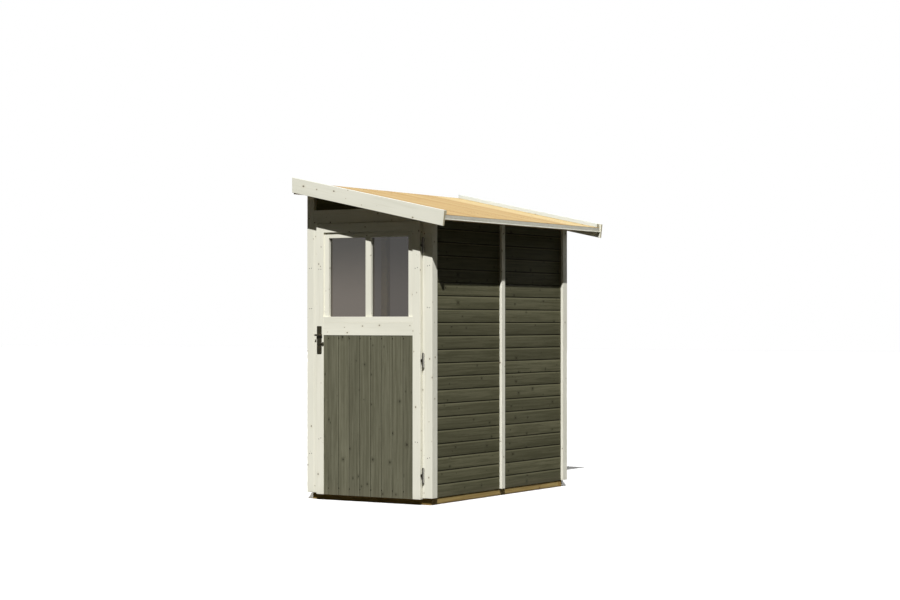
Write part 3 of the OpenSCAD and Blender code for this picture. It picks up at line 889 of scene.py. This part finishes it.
def beads():
    """The beads that hold the glass from inside."""
    low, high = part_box("window_sash")
    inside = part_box("window_pane")[1].y
    middle = (low.x + high.x) / 2
    bar_left, bar_right = middle - BAR_BEAD / 2, middle + BAR_BEAD / 2
    left, right = low.x + SASH_WIDTH, high.x - SASH_WIDTH
    bottom, top = low.z + SASH_WIDTH, high.z - SASH_WIDTH
    far_left, far_right = low.x + BEAD_INSET, high.x - BEAD_INSET
    foot, crown = low.z + BEAD_INSET, high.z - BEAD_INSET
    pieces = []
    for x0, x1, z0, z1, finish in ((far_left, left, foot, crown, white_upright),
                                   (right, far_right, foot, crown, white_upright),
                                   (bar_left, bar_right, bottom, top, white_upright),
                                   (left, right, foot, bottom, white_level),
                                   (left, right, top, crown, white_level)):
        bead = block("bead", (x0, inside, z0), (x1, inside + BEAD_DEPTH, z1))
        pieces.append(sash_piece(bead, finish))
    fit(joined(pieces, "glazing_beads"), "door", "white_paint")


def head_pattern(radius, rise):
    """A nail or screw head at the origin, facing up, with a dished middle."""
    piece = rod("head", (0, 0, -rise), (0, 0, rise), radius, 12)
    open_piece(piece, lambda p: p.z > 0)
    bpy.ops.mesh.bevel(offset=rise * 0.6, segments=1, affect="EDGES")
    close_piece()
    open_piece(piece, lambda p: p.z > rise - TINY)
    bpy.ops.mesh.inset(thickness=radius * 0.35)
    bpy.ops.transform.translate(value=(0, 0, -rise * 0.5))
    close_piece()
    return piece


def heads(name, body, finish, slot, size, outward, places):
    """Nail or screw heads of one size on a face that looks outward."""
    pattern = head_pattern(*size)
    turn = outward.to_track_quat("Z", "Y").to_matrix().to_4x4()
    pieces = []
    for place in places:
        piece = copy_of(pattern, (0, 0, 0))
        piece.data.transform(Matrix.Translation(Vector(place)) @ turn)
        pieces.append(piece)
    bpy.data.objects.remove(pattern)
    fit(paint(joined(pieces, name), finish), body, slot)


def roof_nails():
    """Two nails in each roof board over each purlin, none of them under the edge battens."""
    low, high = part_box("roof_deck")
    width = (high.y - low.y) / ROOF_BOARDS
    purlins = [sum(corner.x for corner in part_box(node)) / 2 for node in ("purlin_high", "purlin_low")]
    places = []
    for i in range(ROOF_BOARDS):
        for purlin in purlins:
            for part in (0.25, 0.75):
                wobble = draw.uniform(-WOBBLE, WOBBLE)
                x = purlin + wobble
                y = low.y + width * (i + part) + wobble
                if low.y + BATTEN_CLEAR < y < high.y - BATTEN_CLEAR:
                    places.append((x, y, high.z - (x - low.x) * ROOF_SLOPE))
    heads("roof_nails", "shed", dark_steel, "hinge_steel", SMALL_HEAD, ROOF_NORMAL, places)


def door_nails():
    """A nail beside each groove of the door's boards, near the top and near the foot."""
    low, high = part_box("door_panel")
    places = []
    x = low.x + PANEL_FIRST
    while x < high.x:
        for z in (high.z - PANEL_NAIL_BELOW_TOP, low.z + PANEL_NAIL_ABOVE_FOOT):
            wobble = draw.uniform(-PANEL_NAIL_WOBBLE, PANEL_NAIL_WOBBLE)
            places.append((x + PANEL_NAIL_ASIDE, low.y, z + wobble))
        x += PANEL_COVER
    heads("door_nails", "door", iron, "black_iron", PANEL_NAIL_HEAD, OUT_FRONT, places)


def timber_screws():
    """Pairs of screws in the corner posts and in the door's stiles."""
    front_posts = ("post_front_left", "post_front_right")
    rear_posts = ("post_rear_left", "post_rear_right")
    stiles = ("door_stile_left", "door_stile_right")
    for name, body, nodes, outward, heights in (
            ("front_post_screws", "shed", front_posts, OUT_FRONT, POST_SCREW_HEIGHTS),
            ("rear_post_screws", "shed", rear_posts, OUT_REAR, POST_SCREW_HEIGHTS),
            ("stile_screws", "door", stiles, OUT_FRONT, STILE_SCREW_HEIGHTS)):
        places = []
        for node in nodes:
            low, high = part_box(node)
            y = low.y if outward is OUT_FRONT else high.y
            for z in heights:
                for side in (-SCREW_PAIR, SCREW_PAIR):
                    places.append(((low.x + high.x) / 2 + side, y, z + draw.uniform(-WOBBLE, WOBBLE)))
        heads(name, body, dark_steel, "hinge_steel", SMALL_HEAD, outward, places)


def handle_plate():
    """The long plate with round corners and a raised middle, and its two screws."""
    low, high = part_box("handle_plate")
    plate = block("plate", low, high)
    open_piece(plate)
    bpy.ops.mesh.select_all(action="DESELECT")
    close_piece()
    # Only the four edges through the plate's thickness are picked
    bpy.context.tool_settings.mesh_select_mode = (False, True, False)
    for edge in plate.data.edges:
        a, b = (plate.data.vertices[i].co for i in edge.vertices)
        edge.select = abs(a.y - b.y) > TINY
    bpy.ops.object.mode_set(mode="EDIT")
    bpy.ops.mesh.bevel(offset=PLATE_CORNER, segments=5, affect="EDGES")
    close_piece()
    open_piece(plate, lambda p: p.y < low.y + TINY)
    bpy.ops.mesh.inset(thickness=PLATE_RIM)
    bpy.ops.transform.translate(value=(0, -PLATE_RISE, 0))
    close_piece()
    fit(paint(soften(plate, 0.0008, 2, 20), iron), "door", "black_iron", "handle_plate")
    middle = (low.x + high.x) / 2
    face = low.y - PLATE_RISE
    places = [(middle, face, low.z + PLATE_SCREW_INSET), (middle, face, high.z - PLATE_SCREW_INSET)]
    heads("handle_screws", "door", iron, "black_iron", PLATE_SCREW_HEAD, OUT_FRONT, places)


def cross_knob():
    """The knob: a cross bar with a slight waist on each side, on a neck and a round rose."""
    low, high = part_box("door_knob")
    x = (low.x + high.x) / 2
    z = (low.z + high.z) / 2
    reach = (high.z - low.z) / 2
    y = low.y + reach
    bar = rod("knob", (low.x, y, z), (high.x, y, z), reach)
    for side in (-1, 1):
        for ring in (WAIST_START, WAIST_PLACE):
            ring_at(bar, (x + side * ring, 0, 0), OUT_RIGHT)
    open_piece(bar, lambda p: abs(abs(p.x - x) - WAIST_PLACE) < WAIST_REACH)
    bpy.ops.transform.resize(value=(1, WAIST_SCALE, WAIST_SCALE), center_override=(x, y, z))
    close_piece()
    soften(bar, 0.0022, 3, 50)
    neck = soften(rod("neck", (x, y, z), (x, high.y, z), NECK_RADIUS), 0.0006, 1)
    rose = soften(rod("rose", (x, high.y - ROSE_DEPTH, z), (x, high.y, z), ROSE_RADIUS), 0.0018, 3)
    fit(paint(joined([bar, neck, rose], "cross_knob"), iron), "door", "black_iron", "door_knob")


def lock_parts():
    """The thumb turn outside, and the knob with its plate inside."""
    turn = from_node("lock_turn", "thumb_turn", 0.0012)
    fit(paint(turn, iron), "door", "black_iron", "lock_turn")
    inside = from_node("inside_handle", "inside_knob_and_plate", 0.0008)
    fit(paint(inside, iron), "door", "black_iron", "inside_handle")


def hinges():
    """Three hinges, each with a wing on the door and a capped pin on the jamb."""
    for place in ("low", "middle", "high"):
        wing = from_node("hinge_wing_" + place, "hinge_wing_" + place + "_steel", 0.0006)
        fit(paint(wing, hinge_steel), "door", "hinge_steel", "hinge_wing_" + place)
        node = "hinge_pin_" + place
        pin = from_node(node, "pin", 0.0006)
        low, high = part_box(node)
        x = (low.x + high.x) / 2
        radius = (high.x - low.x) / 2
        y = low.y + radius
        pieces = [pin]
        for z, side in ((low.z, -1), (high.z, 1)):
            start, end = (x, y, z - side * CAP_SINK), (x, y, z + side * CAP_RISE)
            cap = rod("cap", start, end, radius * CAP_SHARE)
            pieces.append(soften(cap, 0.0030, 3, 50))
        fit(paint(joined(pieces, node + "_steel"), hinge_steel), "shed", "hinge_steel", node)


def drip_edge():
    """The folded drip edge with its edges eased."""
    sheet = from_node("drip_edge", "drip_edge_sheet", 0.0004, 1)
    fit(paint(sheet, zinc), "shed", "zinc", "drip_edge")


def pane():
    """The window's glass, which keeps its CAD shape."""
    paint(frame["nodes"]["window_pane"], glass)


def seen_rays(finish):
    """1 for what the camera sees straight, by reflection or through glass, and 0 for light that bounces."""
    path = finish.node("ShaderNodeLightPath", {}, {}, 0)
    outputs = path.socket.node.outputs
    glossy = Value(finish, outputs["Is Glossy Ray"])
    through = Value(finish, outputs["Is Transmission Ray"])
    return finish.math("MINIMUM", path + glossy + through, 1.0)


def studio_floor():
    """A pale floor that keeps the shed's shadow and gives back little light."""
    bpy.ops.object.select_all(action="DESELECT")
    bpy.ops.mesh.primitive_plane_add(size=FLOOR_SIZE, location=(0, 0, -FLOOR_DROP))
    ground = set_in_place("studio_floor")
    finish = Finish("pale_floor")
    seen = seen_rays(finish)
    bounce = finish.node("ShaderNodeBsdfDiffuse", {}, {"Color": tint(FLOOR_BOUNCE)})
    pale = finish.node("ShaderNodeBsdfDiffuse", {}, {"Color": tint(FLOOR_COLOUR)})
    shader = finish.node("ShaderNodeMixShader", {}, {0: seen, 1: bounce, 2: pale})
    finish.node("ShaderNodeOutputMaterial", {}, {"Surface": shader})
    paint(ground, finish.material)


def surround():
    """A white surround that lights the shed only a little."""
    world = bpy.data.worlds.new("surround")
    bpy.context.scene.world = world
    world.use_nodes = True
    sky = Finish("surround", world.node_tree)
    seen = seen_rays(sky)
    colour = sky.mix(seen, tint(SURROUND_COLOUR), tint((1, 1, 1)))
    strength = seen * (1 - SURROUND_BOUNCE) + SURROUND_BOUNCE
    light = sky.node("ShaderNodeBackground", {}, {"Color": colour, "Strength": strength})
    sky.node("ShaderNodeOutputWorld", {}, {"Surface": light})


def lamps():
    """A key lamp, soft lamps from the rear and the left, and a soft lamp in the room."""
    for name, travel, strength, spread in SUN_LAMPS:
        lamp = bpy.data.lights.new(name, "SUN")
        lamp.energy = strength
        lamp.angle = math.radians(spread)
        sun = bpy.data.objects.new(name, lamp)
        sun.rotation_euler = Vector(travel).to_track_quat("-Z", "Y").to_euler()
        bpy.context.scene.collection.objects.link(sun)

    lamp = bpy.data.lights.new("room", "AREA")
    lamp.energy = ROOM_LAMP_POWER
    lamp.color = ROOM_LAMP_COLOUR
    lamp.size = ROOM_LAMP_SIZE
    room = bpy.data.objects.new("room", lamp)
    room.location = ROOM_LAMP_PLACE
    aim = Vector(ROOM_LAMP_AIM) - Vector(ROOM_LAMP_PLACE)
    room.rotation_euler = aim.to_track_quat("-Z", "Y").to_euler()
    room.visible_camera = False
    room.visible_glossy = False
    room.visible_transmission = False
    bpy.context.scene.collection.objects.link(room)


def camera():
    """The camera at the photograph's angle."""
    lens = bpy.data.cameras.new("camera")
    lens.sensor_fit = "HORIZONTAL"
    lens.sensor_width = 36.0
    lens.lens = 79.9
    lens.shift_y = 0.0235
    view = bpy.data.objects.new("camera", lens)
    view.location = (7.371, -11.987, 1.209)
    view.rotation_euler = (math.radians(90), 0, math.radians(31.706))
    bpy.context.scene.collection.objects.link(view)
    bpy.context.scene.camera = view
    bpy.context.scene.view_settings.view_transform = "Standard"


camera()
studio_floor()
surround()
lamps()
side_wall("right_wall_front")
side_wall("right_wall_rear")
rear_wall()
gable()
roof()
floor_boards()
panel()
timbers()
sash()
beads()
pane()
drip_edge()
handle_plate()
cross_knob()
lock_parts()
hinges()
roof_nails()
door_nails()
timber_screws()

bpy.context.view_layer.update()
